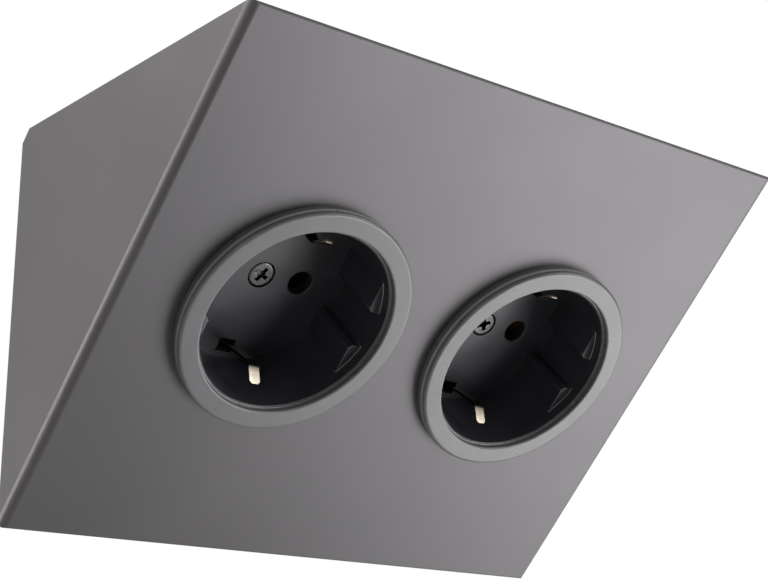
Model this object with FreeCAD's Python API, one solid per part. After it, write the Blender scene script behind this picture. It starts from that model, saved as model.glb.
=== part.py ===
# Corner power strip with two recessed earthed sockets, as separate pieces, in millimetres.
#
# Frame: X runs along the strip, Y goes into the wall, Z is up. The wall is the plane y = 0 and
# the underside of the cupboard is the plane z = 0. They meet in the line y = z = 0, and the
# origin is the middle of that line. The sloping front looks down and into the room.

import FreeCAD, Part
import math
import os

V = FreeCAD.Vector
ROOT2 = math.sqrt(2.0)
os.makedirs("parts", exist_ok=True)

# Housing: one folded cover screwed onto an L-shaped back plate

length = 137.6
leg = 80.5
sheet = 1.0
end_fold_radius = 1.8
edge_radius = 0.5
corner_chamfer = 2.5
flange_width = 16.0
fold_relief = 1.0
plate_end_gap = 0.2
plate_front_gap = 0.45
plate_bend_radius = 1.5

# Fixings of the cover: countersunk M3 screws in clinch nuts

cover_screw_rows = 3
cover_screw_spacing = 50.0
cover_screw_inset = 11.0
cover_screw_length = 6.0
m3_radius = 1.5
m3_head_radius = 2.8
m3_nut_radius = 3.0
m3_nut_height = 2.6
m3_nut_neck_radius = 2.1
cross_slot_length = 3.4
cross_slot_width = 0.7
cross_slot_depth = 0.9
thread_gap = 0.05
head_gap = 0.1

# Fixings of the strip: M4 clinch nuts against the cupboard, keyholes on the wall

cupboard_nut_spacing = 90.0
cupboard_nut_inset = 30.0
m4_tap_radius = 1.65
m4_nut_radius = 3.8
m4_nut_height = 3.0
m4_nut_neck_radius = 2.8
keyhole_spacing = 90.0
keyhole_drop = 34.0
keyhole_entry_radius = 4.2
keyhole_slot_radius = 2.2
keyhole_slot_rise = 8.0

# Cable inlet

inlet_drop = 40.0
inlet_bore_radius = 4.0
inlet_neck_radius = 6.0
inlet_lip_radius = 8.0
inlet_back_lip = 0.9
inlet_front_lip = 1.5

# Socket: grey bezel cap over a black body that a ring nut clamps in the sloping front

socket_pitch = 60.0
recess_radius = 19.8
recess_depth = 15.4
recess_lead_in = 0.3
floor_thickness = 2.3
body_wall = 2.5
body_lower_wall = 1.5
body_thread_depth = 13.0
body_flange_overhang = 1.2
body_flange_gap = 0.1
panel_hole_gap = 0.3
bezel_height = 2.8
bezel_roof = 1.0
bezel_skirt = 0.9
bezel_opening_gap = 0.5
bezel_edge = 0.7
bezel_mouth_edge = 0.4
guide_depth = 3.2
guide_groove = 8.0
guide_top_depth = 1.0
guide_corner = 0.8
guide_edge = 0.2
pin_spacing = 19.0
pin_hole_radius = 2.6
pin_hole_lead_in = 0.25
pin_reach = 19.0
nut_wall = 3.85
nut_height = 5.0
nut_notches = 8
nut_notch_width = 4.0
nut_notch_depth = 1.8

# Rear half of a socket: contact carrier, centre screw, contacts and earth parts

carrier_step_in = 1.8
carrier_step_depth = 25.0
carrier_rear_width = 30.4
carrier_rear_height = 23.0
carrier_rear_chamfer = 1.5
carrier_floor = 2.5
pin_end_gap = 0.5
centre_head_radius = 2.85
centre_head_height = 1.6
centre_head_sink = 0.05
centre_head_edge = 0.45
centre_screw_radius = 1.5
centre_screw_length = 12.0
centre_cross_length = 3.3
centre_cross_width = 0.9
centre_cross_depth = 1.2
centre_cross_core = 0.85
centre_cross_turn = -22.0
centre_turn_step = 51.0

clip_thickness = 0.5
clip_width = 2.5
clip_corner = 0.5
clip_inset = 3.1
clip_bend = 0.9
clip_low_lean = 1.35
clip_low_height = 4.3
clip_high_lean = 2.45
clip_high_height = 9.1
clip_pinch_lean = 2.4
clip_pinch_height = 11.2
clip_tip_lean = 0.1
clip_tip_height = 14.3
clip_slot_width = 3.7
clip_slot_inward = 1.2
clip_slot_outward = 1.9
bracket_thickness = 0.8
bracket_width = 7.0
bracket_gap = 0.1
earth_leg_width = 5.0

leaf_thickness = 0.5
leaf_width = 4.0
leaf_root_offset = 2.7
leaf_pinch_offset = 2.15
leaf_tip_offset = 2.45
leaf_bend = 0.5
leaf_corner = 0.6
leaf_length = 9.6
leaf_pinch_drop = 3.4
leaf_top_gap = 0.5
cheek_height = 2.6
contact_thickness = 0.8
bridge_gap = 1.4
pocket_half_width = 4.4
pocket_half_height = 3.2
terminal_size = 6.0
terminal_length = 7.0
terminal_offset = 7.2
terminal_recess = 0.5
pocket_gap = 0.2
terminal_screw_radius = 1.5
terminal_head_radius = 2.2
terminal_head_height = 1.4
terminal_screw_drop = 3.2

# Wiring: a three-way block joins both sockets to the mains lead

wire_radius = 1.4
wire_core_radius = 0.7
wire_bore_radius = 1.6
core_length = 3.6
wire_entry = 1.2
block_width = 17.0
block_depth = 14.0
block_height = 21.0
block_top = 3.0
pole_pitch = 7.0
pole_bore_radius = 2.2
pole_length = 15.0
pole_screw_offset = 4.6
pole_screw_radius = 1.4
pole_head_overhang = 0.5
pole_head_height = 1.2
pole_head_drop = 3.0
pole_slot_width = 0.5
pole_slot_depth = 0.7
pole_slot_reach = 2.0
block_screw_well = 2.1
block_chamfer = 0.6
rivet_radius = 1.0
rivet_head_radius = 1.9
rivet_crown_radius = 1.15
rivet_head = 0.8
rivet_tail = 0.6
stud_radius = 2.0
stud_height = 8.0
stud_inset = 44.0
lug_radius = 4.2
lug_thickness = 0.8
lug_neck = 5.5
lug_barrel_radius = 2.2
lug_barrel_length = 6.0
earth_nut_radius = 4.0
earth_nut_height = 3.2

# Places worked out from the sizes above

half_length = length / 2.0
face_middle = leg / 2.0
body_radius = recess_radius + body_wall
body_lower_radius = recess_radius + body_lower_wall
carrier_radius = body_lower_radius - carrier_step_in
guide_flat = recess_radius - guide_depth
clip_root = recess_radius - clip_inset
nut_inner_radius = body_radius + thread_gap
nut_outer_radius = nut_inner_radius + nut_wall
carrier_top = -(recess_depth + floor_thickness)
carrier_step = -carrier_step_depth
carrier_rear = -(recess_depth + pin_reach + carrier_floor)
plate_inside = 2.0 * sheet
past_plate = plate_inside + sheet
pin_offset = pin_spacing / 2.0
leaf_top = carrier_top - leaf_top_gap
leaf_bottom = leaf_top - leaf_length
terminal_rear = carrier_rear + terminal_recess
terminal_screw_level = terminal_rear + terminal_screw_drop
body_flange_radius = body_radius + body_flange_overhang
bezel_radius = body_flange_radius + body_flange_gap + bezel_skirt
bezel_opening_radius = recess_radius + bezel_opening_gap
body_flange_top = bezel_height - bezel_roof - body_flange_gap / 2.0
panel_hole_radius = body_radius + panel_hole_gap


def block(x0, x1, y0, y1, z0, z1):
    """A box between two corners."""
    return Part.makeBox(x1 - x0, y1 - y0, z1 - z0, V(x0, y0, z0))


def rod(radius, start, end):
    """A round bar from one point to another."""
    along = end - start
    return Part.makeCylinder(radius, along.Length, start, along)


def cone(radius_start, radius_end, start, end):
    """A cone from one point to another."""
    along = end - start
    return Part.makeCone(radius_start, radius_end, along.Length, start, along)


def turned(outline):
    """A ring turned about local Z from (radius, height) corners."""
    corners = [V(r, 0, n) for r, n in outline]
    face = Part.Face(Part.makePolygon(corners + corners[:1]))
    return face.revolve(V(0, 0, 0), V(0, 0, 1), 360)


def prism_along_x(outline, x0, x1):
    """A bar along X from (y, z) corners."""
    corners = [V(x0, y, z) for y, z in outline]
    face = Part.Face(Part.makePolygon(corners + corners[:1]))
    return face.extrude(V(x1 - x0, 0, 0))


def edges_through(shape, axis, point):
    """The straight edges of a shape that run along an axis through a point."""
    found = []
    for edge in shape.Edges:
        first = edge.Vertexes[0].Point
        last = edge.Vertexes[-1].Point
        side_first = (first - point).cross(axis).Length
        side_last = (last - point).cross(axis).Length
        if side_first < 1e-4 and side_last < 1e-4 and (last - first).Length > 1e-4:
            found.append(edge)
    return found


def rim(shape, radius, height):
    """The circular edge of a turned shape at a radius and a height."""
    found = []
    for edge in shape.Edges:
        curve = edge.Curve
        if isinstance(curve, Part.Circle) and abs(curve.Radius - radius) < 1e-4:
            if abs(curve.Center.z - height) < 1e-4:
                found.append(edge)
    return found


def strip(points, thickness, width, bend, corner):
    """Spring strip bent along (a, n) points: a is local X, n is local Z, and its width is along Y.

    bend is the inside radius of its folds, and corner the chamfer on the corners of its free end.
    """
    half = thickness / 2.0
    normals = []
    for (a0, n0), (a1, n1) in zip(points, points[1:]):
        run = math.hypot(a1 - a0, n1 - n0)
        normals.append(((n0 - n1) / run, (a1 - a0) / run))
    left = []
    right = []
    turns = []
    for i, (a, n) in enumerate(points):
        before = normals[max(i - 1, 0)]
        after = normals[min(i, len(normals) - 1)]
        share = half / (1.0 + before[0] * after[0] + before[1] * after[1])
        off_a = (before[0] + after[0]) * share
        off_n = (before[1] + after[1]) * share
        left.append(V(a + off_a, -width / 2.0, n + off_n))
        right.append(V(a - off_a, -width / 2.0, n - off_n))
        turns.append(before[0] * after[1] - before[1] * after[0])
    corners = left + right[::-1]
    solid = Part.Face(Part.makePolygon(corners + corners[:1])).extrude(V(0, width, 0))
    inner = []
    outer = []
    for i in range(1, len(points) - 1):
        inner.extend(edges_through(solid, V(0, 1, 0), left[i] if turns[i] > 0 else right[i]))
        outer.extend(edges_through(solid, V(0, 1, 0), right[i] if turns[i] > 0 else left[i]))
    rounded = solid.makeFillet(bend + thickness, outer)
    inside = []
    for edge in inner:
        inside.extend(edges_through(rounded, V(0, 1, 0), edge.Vertexes[0].Point))
    bent = rounded.makeFillet(bend, inside)
    through = left[-1] - right[-1]
    ends = edges_through(bent, through, left[-1]) + edges_through(bent, through, left[-1] + V(0, width, 0))
    return bent.makeChamfer(corner, ends)


def route(points):
    """A wire's path: straight runs joined by tangent arcs. Returns it with its arc radii."""
    edges = []
    radii = []
    start = points[0]
    for before, corner, after in zip(points, points[1:], points[2:]):
        run_in = corner - before
        run_out = after - corner
        reach = 0.45 * min(run_in.Length, run_out.Length)
        half_turn = run_in.getAngle(run_out) / 2.0
        radius = reach / math.tan(half_turn)
        towards = V(run_out).normalize() - V(run_in).normalize()
        middle = corner + towards.normalize() * (radius / math.cos(half_turn) - radius)
        arc_start = corner - V(run_in).normalize() * reach
        arc_end = corner + V(run_out).normalize() * reach
        edges.append(Part.LineSegment(start, arc_start).toShape())
        edges.append(Part.Arc(arc_start, middle, arc_end).toShape())
        radii.append(radius)
        start = arc_end
    edges.append(Part.LineSegment(start, points[-1]).toShape())
    return Part.Wire(edges), radii


def insulated_wire(name, points):
    """One insulated conductor with both ends stripped, along hand-chosen points."""
    path, radii = route(points)
    first = V(points[1] - points[0]).normalize()
    last = V(points[-1] - points[-2]).normalize()
    circle = Part.Wire(Part.makeCircle(wire_radius, points[0], first))
    skin = path.makePipeShell([circle], True, False)
    expected = math.pi * wire_radius ** 2 * path.Length
    shown = ", ".join(f"{radius:.1f}" for radius in radii)
    print(f"{name}: length {path.Length:.1f} mm, radii {shown}, volume ratio {skin.Volume / expected:.5f}")
    start_core = rod(wire_core_radius, points[0] - first * core_length, points[0] + first)
    end_core = rod(wire_core_radius, points[-1] - last, points[-1] + last * core_length)
    return skin.fuse(start_core).fuse(end_core)


def on_front(shape, side):
    """Places a shape from a socket's own frame onto the sloping front.

    In that frame X runs along the strip, Y up the slope and Z out of the front, from the
    middle of the socket. side is -1 for the left socket and 1 for the right one.
    """
    placed = shape.copy()
    middle = V(side * socket_pitch / 2.0, -face_middle, -face_middle)
    placed.Placement = FreeCAD.Placement(middle, FreeCAD.Rotation(V(1, 0, 0), 135))
    return placed


def front_point(side, across, up, out):
    """A point of a socket's own frame, in the frame of the strip."""
    return V(
        side * socket_pitch / 2.0 + across,
        -face_middle - (up + out) / ROOT2,
        -face_middle + (up - out) / ROOT2,
    )


def save(shape, name):
    """Writes one piece, or one group of like pieces, as a clean solid."""
    shape.removeSplitter().exportStep(f"parts/{name}.step")


# Front cover: the sloping front, both triangular ends and two return flanges, all one sheet

def wedge(inset, fold_radius):
    """The space inside the front and end sheets at a depth below their outside."""
    half = half_length - inset
    solid = block(-half, half, -leg, leg, -leg - inset, -inset)
    folds = edges_through(solid, V(0, 1, 0), V(half, 0, -inset))
    folds += edges_through(solid, V(0, 1, 0), V(-half, 0, -inset))
    folded = solid.makeFillet(fold_radius, folds)
    folded.Placement = FreeCAD.Placement(V(0, -face_middle, -face_middle), FreeCAD.Rotation(V(1, 0, 0), 135))
    return folded


cover_outline = prism_along_x([(-leg, 0), (0, 0), (0, -leg)], -half_length, half_length)
tips = edges_through(cover_outline, V(1, 0, 0), V(0, -leg, 0))
tips += edges_through(cover_outline, V(1, 0, 0), V(0, 0, -leg))
cover_outline = cover_outline.makeFillet(edge_radius, tips)
rear_corner = edges_through(cover_outline, V(1, 0, 0), V(0, 0, 0))
cover_outline = cover_outline.makeChamfer(corner_chamfer, rear_corner)

inner_reach = leg - sheet * (1.0 + ROOT2)
flange_end = leg - flange_width
cover_hollow = prism_along_x(
    [
        (-inner_reach, -sheet),
        (-flange_end, -sheet),
        (-flange_end, sheet),
        (sheet, sheet),
        (sheet, -flange_end),
        (-sheet, -flange_end),
        (-sheet, -inner_reach),
    ],
    -half_length + sheet,
    half_length - sheet,
)
cover_hollow = cover_hollow.common(wedge(sheet, end_fold_radius - sheet))
cover = cover_outline.common(wedge(0.0, end_fold_radius)).cut(cover_hollow)

cover_screw_line = leg - cover_screw_inset
cover_screw_places = [
    cover_screw_spacing * (k - (cover_screw_rows - 1) / 2.0) for k in range(cover_screw_rows)
]


def both_flanges(make):
    """One shape per cover screw: made for the top flange, then turned over onto the rear one."""
    shapes = []
    for x in cover_screw_places:
        top = make(V(x, -cover_screw_line, 0))
        rear = top.mirror(V(0, 0, 0), V(0, 1, -1))
        shapes.extend([top, rear])
    return shapes


def flange_sink(at):
    """The countersunk hole through a flange."""
    below = at - V(0, 0, sheet)
    return cone(m3_head_radius + head_gap, m3_head_radius + head_gap - sheet, at, below)


def cross_slot(slot_length, slot_width, slot_depth):
    """The cutter for a cross slot, about Z, down from the level 0."""
    half = slot_length / 2.0
    thin = slot_width / 2.0
    one = block(-half, half, -thin, thin, -slot_depth, 1.0)
    return one.fuse(block(-thin, thin, -half, half, -slot_depth, 1.0))


def cover_screw(at):
    """A countersunk screw with a cross slot, flush with the outside of a flange."""
    cone_height = m3_head_radius - m3_radius
    head = cone(m3_head_radius, m3_radius, at, at - V(0, 0, cone_height))
    shank = rod(m3_radius, at - V(0, 0, cone_height), at - V(0, 0, cover_screw_length))
    cross = cross_slot(cross_slot_length, cross_slot_width, cross_slot_depth)
    cross.translate(at)
    return head.fuse(shank).cut(cross)


def clinch_nut(at, bore, nut_radius, neck_radius, height):
    """A round nut pressed into the back plate from inside, its neck flush with the outside."""
    neck = rod(neck_radius, at - V(0, 0, sheet), at - V(0, 0, plate_inside))
    body = rod(nut_radius, at - V(0, 0, plate_inside), at - V(0, 0, plate_inside + height))
    hole = rod(bore, at, at - V(0, 0, plate_inside + height + 1.0))
    return neck.fuse(body).cut(hole)


def cover_nut(at):
    """The clinch nut of a cover screw, countersunk where the head reaches into it."""
    nut = clinch_nut(at, m3_radius + thread_gap, m3_nut_radius, m3_nut_neck_radius, m3_nut_height)
    sink = cone(m3_head_radius + head_gap, 0.0, at, at - V(0, 0, m3_head_radius + head_gap))
    return nut.cut(sink)


for hole in both_flanges(flange_sink):
    cover = cover.cut(hole)
for side in (-1, 1):
    panel_hole = rod(panel_hole_radius, V(0, 0, 1), V(0, 0, -2.0 * sheet))
    cover = cover.cut(on_front(panel_hole, side))
    end_inside = side * (half_length - sheet)
    relief = block(
        min(end_inside, end_inside - side * fold_relief),
        max(end_inside, end_inside - side * fold_relief),
        -inner_reach,
        -flange_end + sheet,
        -sheet,
        sheet,
    )
    cover = cover.cut(relief).cut(relief.mirror(V(0, 0, 0), V(0, 1, -1)))
save(cover, "front_cover")
save(Part.Compound(both_flanges(cover_screw)), "cover_screws")
save(Part.Compound(both_flanges(cover_nut)), "cover_nuts")

# Back plate: an L of galvanised sheet behind the flanges

plate_half = half_length - sheet - plate_end_gap
plate_end = leg - plate_inside - sheet * ROOT2 - plate_front_gap
plate = prism_along_x(
    [
        (-plate_end, -sheet),
        (-sheet, -sheet),
        (-sheet, -plate_end),
        (-plate_inside, -plate_end),
        (-plate_inside, -plate_inside),
        (-plate_end, -plate_inside),
    ],
    -plate_half,
    plate_half,
)
outer_bend = edges_through(plate, V(1, 0, 0), V(0, -sheet, -sheet))
plate = plate.makeFillet(plate_bend_radius, outer_bend)
inner_bend = edges_through(plate, V(1, 0, 0), V(0, -plate_inside, -plate_inside))
plate = plate.makeFillet(plate_bend_radius - sheet, inner_bend)

cupboard_nut_places = [V(s * cupboard_nut_spacing / 2.0, -cupboard_nut_inset, 0) for s in (-1, 1)]
stud_place = V(0, -stud_inset, 0)
block_middle = -(block_top + block_height / 2.0)
rivet_levels = [block_middle + s * pole_pitch / 2.0 for s in (-1, 1)]

plate_cuts = both_flanges(lambda at: rod(m3_nut_neck_radius + thread_gap, at, at - V(0, 0, past_plate)))
for at in cupboard_nut_places:
    plate_cuts.append(rod(m4_nut_neck_radius + thread_gap, at, at - V(0, 0, past_plate)))
plate_cuts.append(rod(stud_radius + thread_gap, stud_place, stud_place - V(0, 0, past_plate)))
for level in rivet_levels:
    plate_cuts.append(rod(rivet_radius + thread_gap, V(0, 0, level), V(0, -past_plate, level)))
plate_cuts.append(rod(inlet_neck_radius, V(0, 0, -inlet_drop), V(0, -past_plate, -inlet_drop)))
for s in (-1, 1):
    x = s * keyhole_spacing / 2.0
    slot_top = -keyhole_drop + keyhole_slot_rise
    entry = rod(keyhole_entry_radius, V(x, 0, -keyhole_drop), V(x, -past_plate, -keyhole_drop))
    slot = block(
        x - keyhole_slot_radius, x + keyhole_slot_radius, -past_plate, 0, -keyhole_drop, slot_top
    )
    crown = rod(keyhole_slot_radius, V(x, 0, slot_top), V(x, -past_plate, slot_top))
    plate_cuts.extend([entry, slot, crown])
for tool in plate_cuts:
    plate = plate.cut(tool)
plate = plate.common(wedge(sheet + plate_end_gap, end_fold_radius - sheet - plate_end_gap))
save(plate, "back_plate")

cupboard_nuts = [
    clinch_nut(at, m4_tap_radius, m4_nut_radius, m4_nut_neck_radius, m4_nut_height)
    for at in cupboard_nut_places
]
save(Part.Compound(cupboard_nuts), "cupboard_nuts")

# Cable inlet: a rubber grommet in the wall leg of the back plate

inlet_back = -sheet + inlet_back_lip
inlet_front = -plate_inside - inlet_front_lip
grommet = rod(inlet_lip_radius, V(0, -sheet, -inlet_drop), V(0, inlet_back, -inlet_drop))
grommet = grommet.fuse(rod(inlet_neck_radius, V(0, -sheet, -inlet_drop), V(0, -plate_inside, -inlet_drop)))
grommet = grommet.fuse(
    cone(
        inlet_lip_radius,
        inlet_neck_radius,
        V(0, -plate_inside, -inlet_drop),
        V(0, inlet_front, -inlet_drop),
    )
)
grommet = grommet.cut(rod(inlet_bore_radius, V(0, 1, -inlet_drop), V(0, inlet_front - 1, -inlet_drop)))
save(grommet, "cable_grommet")

# Terminal block: three poles one above the other, riveted to the back plate

block_back = -plate_inside
block_front = block_back - block_depth
pole_line = block_back - block_depth / 2.0
pole_levels = [block_middle - pole_pitch * k for k in (-1, 0, 1)]
housing = block(
    -block_width / 2.0,
    block_width / 2.0,
    block_front,
    block_back,
    -(block_top + block_height),
    -block_top,
)
front_edges = edges_through(housing, V(0, 0, 1), V(block_width / 2.0, block_front, 0))
front_edges += edges_through(housing, V(0, 0, 1), V(-block_width / 2.0, block_front, 0))
housing = housing.makeChamfer(block_chamfer, front_edges)
pole_tubes = []
pole_screws = []
for level in pole_levels:
    housing = housing.cut(
        rod(
            pole_bore_radius + thread_gap,
            V(-block_width, pole_line, level),
            V(block_width, pole_line, level),
        )
    )
    half = pole_length / 2.0
    tube = rod(pole_bore_radius, V(-half, pole_line, level), V(half, pole_line, level))
    tube = tube.cut(rod(wire_bore_radius, V(-half - 1, pole_line, level), V(half + 1, pole_line, level)))
    mains_entry = rod(wire_bore_radius, V(0, pole_line, level), V(0, block_front - 1, level))
    housing = housing.cut(mains_entry)
    tube = tube.cut(mains_entry)
    for s in (-1, 1):
        x = s * pole_screw_offset
        tip = V(x, pole_line - wire_core_radius - thread_gap, level)
        mouth = V(x, block_front, level)
        seat = V(x, block_front + pole_head_drop + pole_head_height, level)
        housing = housing.cut(rod(block_screw_well, V(x, pole_line, level), mouth - V(0, 1, 0)))
        tube = tube.cut(rod(pole_screw_radius + thread_gap, V(x, pole_line, level), mouth))
        screw = rod(pole_screw_radius, tip, seat)
        crown = V(x, block_front + pole_head_drop, level)
        head = rod(pole_screw_radius + pole_head_overhang, seat, crown)
        groove = block(
            x - pole_slot_reach,
            x + pole_slot_reach,
            crown.y - 1.0,
            crown.y + pole_slot_depth,
            level - pole_slot_width / 2.0,
            level + pole_slot_width / 2.0,
        )
        pole_screws.append(screw.fuse(head).cut(groove))
    pole_tubes.append(tube)
rivets = []
for level in rivet_levels:
    back = V(0, -sheet, level)
    front = V(0, block_front, level)
    housing = housing.cut(rod(rivet_radius + thread_gap, back, front - V(0, 1, 0)))
    rivet = rod(rivet_radius, back, front)
    rivet = rivet.fuse(cone(rivet_head_radius, rivet_crown_radius, front, front - V(0, rivet_head, 0)))
    rivet = rivet.fuse(rod(rivet_head_radius, back, back + V(0, rivet_tail, 0)))
    rivets.append(rivet)
save(housing, "terminal_block")
save(Part.Compound(pole_tubes), "terminal_block_contacts")
save(Part.Compound(pole_screws), "terminal_block_screws")
save(Part.Compound(rivets), "terminal_block_rivets")

# Earth stud of the housing, with its lug and nut

stud = rod(stud_radius, stud_place - V(0, 0, sheet), stud_place - V(0, 0, plate_inside + stud_height))
save(stud, "earth_stud")
lug_top = -plate_inside
lug_bottom = lug_top - lug_thickness
lug = rod(lug_radius, stud_place + V(0, 0, lug_top), stud_place + V(0, 0, lug_bottom))
barrel_start = -stud_inset + lug_radius + lug_neck / 2.0
barrel_level = lug_top - lug_barrel_radius
neck = block(-lug_barrel_radius, lug_barrel_radius, -stud_inset, barrel_start, lug_bottom, lug_top)
lug_barrel = rod(
    lug_barrel_radius, V(0, barrel_start, barrel_level), V(0, barrel_start + lug_barrel_length, barrel_level)
)
lug = lug.fuse(neck).fuse(lug_barrel)
lug = lug.cut(rod(stud_radius + thread_gap, stud_place, stud_place - V(0, 0, 2.0 * plate_inside)))
lug_bore_start = V(0, barrel_start + 1.0, barrel_level)
lug = lug.cut(rod(wire_bore_radius, lug_bore_start, lug_bore_start + V(0, lug_barrel_length, 0)))
save(lug, "earth_lug")
nut_top = lug_bottom
hexagon = [
    (earth_nut_radius * math.cos(math.radians(60 * k)), earth_nut_radius * math.sin(math.radians(60 * k)))
    for k in range(6)
]
hex_corners = [V(a, -stud_inset + b, nut_top) for a, b in hexagon]
earth_nut = Part.Face(Part.makePolygon(hex_corners + hex_corners[:1])).extrude(V(0, 0, -earth_nut_height))
earth_nut = earth_nut.cut(
    rod(stud_radius + thread_gap, V(0, -stud_inset, 0), V(0, -stud_inset, nut_top - earth_nut_height - 1))
)
save(earth_nut, "earth_nut")

# Pieces of one socket, each in the socket's own frame

def bezel_ring():
    """The grey cap: a flat ring with rounded edges and a skirt that hides the body's flange."""
    skirt_inside = bezel_radius - bezel_skirt
    roof = bezel_height - bezel_roof
    ring = turned(
        [
            (bezel_opening_radius, roof),
            (bezel_opening_radius, bezel_height),
            (bezel_radius, bezel_height),
            (bezel_radius, 0.0),
            (skirt_inside, 0.0),
            (skirt_inside, roof),
        ]
    )
    ring = ring.makeFillet(bezel_edge, rim(ring, bezel_radius, bezel_height))
    return ring.makeFillet(bezel_mouth_edge, rim(ring, bezel_opening_radius, bezel_height))


def ring_nut():
    """The notched nut behind the sloping front."""
    top = -sheet
    nut = turned(
        [
            (nut_inner_radius, top),
            (nut_outer_radius, top),
            (nut_outer_radius, top - nut_height),
            (nut_inner_radius, top - nut_height),
        ]
    )
    for k in range(nut_notches):
        notch = block(
            nut_outer_radius - nut_notch_depth,
            nut_outer_radius + 1.0,
            -nut_notch_width / 2.0,
            nut_notch_width / 2.0,
            top - nut_height - 1.0,
            top + 1.0,
        )
        notch.rotate(V(0, 0, 0), V(0, 0, 1), 360.0 * (k + 0.5) / nut_notches)
        nut = nut.cut(notch)
    return nut


def guide_rail():
    """One keying rail before it is trimmed to the recess: its corner and upper edges are eased."""
    near = guide_groove / 2.0
    rail = block(
        guide_flat, recess_radius + 1.0, near, recess_radius, -recess_depth - 0.5, -guide_top_depth
    )
    rail = rail.makeChamfer(guide_corner, edges_through(rail, V(0, 0, 1), V(guide_flat, near, 0)))
    top = [
        (V(0, 1, 0), V(guide_flat, near + guide_corner, -guide_top_depth)),
        (V(1, -1, 0), V(guide_flat, near + guide_corner, -guide_top_depth)),
        (V(1, 0, 0), V(guide_flat + guide_corner, near, -guide_top_depth)),
    ]
    edges = [edge for along, point in top for edge in edges_through(rail, along, point)]
    return rail.makeFillet(guide_edge, edges)


def socket_body():
    """The black recess: rim, threaded wall, floor, keying flats and all its holes."""
    body = turned(
        [
            (0.0, carrier_top),
            (body_lower_radius, carrier_top),
            (body_lower_radius, -body_thread_depth),
            (body_radius, -body_thread_depth),
            (body_radius, 0.0),
            (body_flange_radius, 0.0),
            (body_flange_radius, body_flange_top),
            (recess_radius + recess_lead_in, body_flange_top),
            (recess_radius, body_flange_top - recess_lead_in),
            (recess_radius, -recess_depth),
            (0.0, -recess_depth),
        ]
    )
    core = rod(recess_radius + recess_lead_in, V(0, 0, -recess_depth - 0.5), V(0, 0, -guide_top_depth))
    for across in (-1, 1):
        for up in (-1, 1):
            rail = guide_rail().common(core)
            if across < 0:
                rail = rail.mirror(V(0, 0, 0), V(1, 0, 0))
            if up < 0:
                rail = rail.mirror(V(0, 0, 0), V(0, 1, 0))
            body = body.fuse(rail)
    floor_top = -recess_depth
    for across in (-pin_offset, pin_offset):
        body = body.cut(rod(pin_hole_radius, V(across, 0, 1), V(across, 0, carrier_top - 1)))
        body = body.cut(
            cone(
                pin_hole_radius + pin_hole_lead_in,
                pin_hole_radius,
                V(across, 0, floor_top),
                V(across, 0, floor_top - pin_hole_lead_in),
            )
        )
    head_seat = floor_top - centre_head_height
    body = body.cut(rod(centre_head_radius + head_gap, V(0, 0, 1), V(0, 0, head_seat)))
    body = body.cut(rod(centre_screw_radius + thread_gap, V(0, 0, 1), V(0, 0, carrier_top - 1)))
    for up in (-1, 1):
        slot = block(
            -clip_slot_width / 2.0,
            clip_slot_width / 2.0,
            min(up * (clip_root - clip_slot_inward), up * (clip_root + clip_slot_outward)),
            max(up * (clip_root - clip_slot_inward), up * (clip_root + clip_slot_outward)),
            carrier_top - 1.0,
            floor_top + 0.5,
        )
        body = body.cut(slot)
    return body


def contact_carrier():
    """The rear half, with a pocket behind each pin hole and a channel for the earth bracket."""
    half_width = carrier_rear_width / 2.0
    half_height = carrier_rear_height / 2.0
    carrier = rod(carrier_radius, V(0, 0, carrier_top), V(0, 0, carrier_step))
    rear = block(-half_width, half_width, -half_height, half_height, carrier_rear, carrier_step)
    rear_edges = edges_through(rear, V(0, 1, 0), V(half_width, 0, carrier_rear))
    rear_edges += edges_through(rear, V(0, 1, 0), V(-half_width, 0, carrier_rear))
    carrier = carrier.fuse(rear.makeChamfer(carrier_rear_chamfer, rear_edges))
    pin_end = -(recess_depth + pin_reach) - pin_end_gap
    screw_side = terminal_size / 2.0 + pocket_gap
    for across in (-1, 1):
        middle = across * pin_offset
        pocket = block(
            middle - pocket_half_width,
            middle + pocket_half_width,
            -pocket_half_height,
            terminal_offset - terminal_size / 2.0 + pocket_gap,
            pin_end,
            carrier_top + 1.0,
        )
        terminal_pocket = block(
            middle - screw_side,
            middle + screw_side,
            terminal_offset - screw_side,
            terminal_offset + screw_side,
            carrier_rear - 1.0,
            terminal_rear + terminal_length + pocket_gap,
        )
        access = rod(
            terminal_head_radius + pocket_gap,
            V(middle, terminal_offset, terminal_screw_level),
            V(across * (half_width + 1.0), terminal_offset, terminal_screw_level),
        )
        carrier = carrier.cut(pocket).cut(terminal_pocket).cut(access)
    earth_pocket = block(
        -screw_side,
        screw_side,
        -terminal_offset - screw_side,
        -terminal_offset + screw_side,
        carrier_rear - 1.0,
        terminal_rear + terminal_length + pocket_gap,
    )
    earth_access = rod(
        terminal_head_radius + pocket_gap,
        V(0, -terminal_offset, terminal_screw_level),
        V(0, -half_height - 1.0, terminal_screw_level),
    )
    channel = block(
        -bracket_width / 2.0 - pocket_gap,
        bracket_width / 2.0 + pocket_gap,
        -carrier_radius,
        carrier_radius,
        carrier_top - bracket_thickness,
        carrier_top + 1.0,
    )
    leg_channel = block(
        -earth_leg_width / 2.0 - pocket_gap,
        earth_leg_width / 2.0 + pocket_gap,
        -terminal_offset - contact_thickness / 2.0 - pocket_gap,
        -terminal_offset + contact_thickness / 2.0 + pocket_gap,
        terminal_rear,
        carrier_top,
    )
    thread = rod(
        centre_screw_radius + thread_gap,
        V(0, 0, carrier_top + 1.0),
        V(0, 0, -recess_depth - centre_screw_length - 1.0),
    )
    for tool in (earth_pocket, earth_access, channel, leg_channel, thread):
        carrier = carrier.cut(tool)
    return carrier


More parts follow.
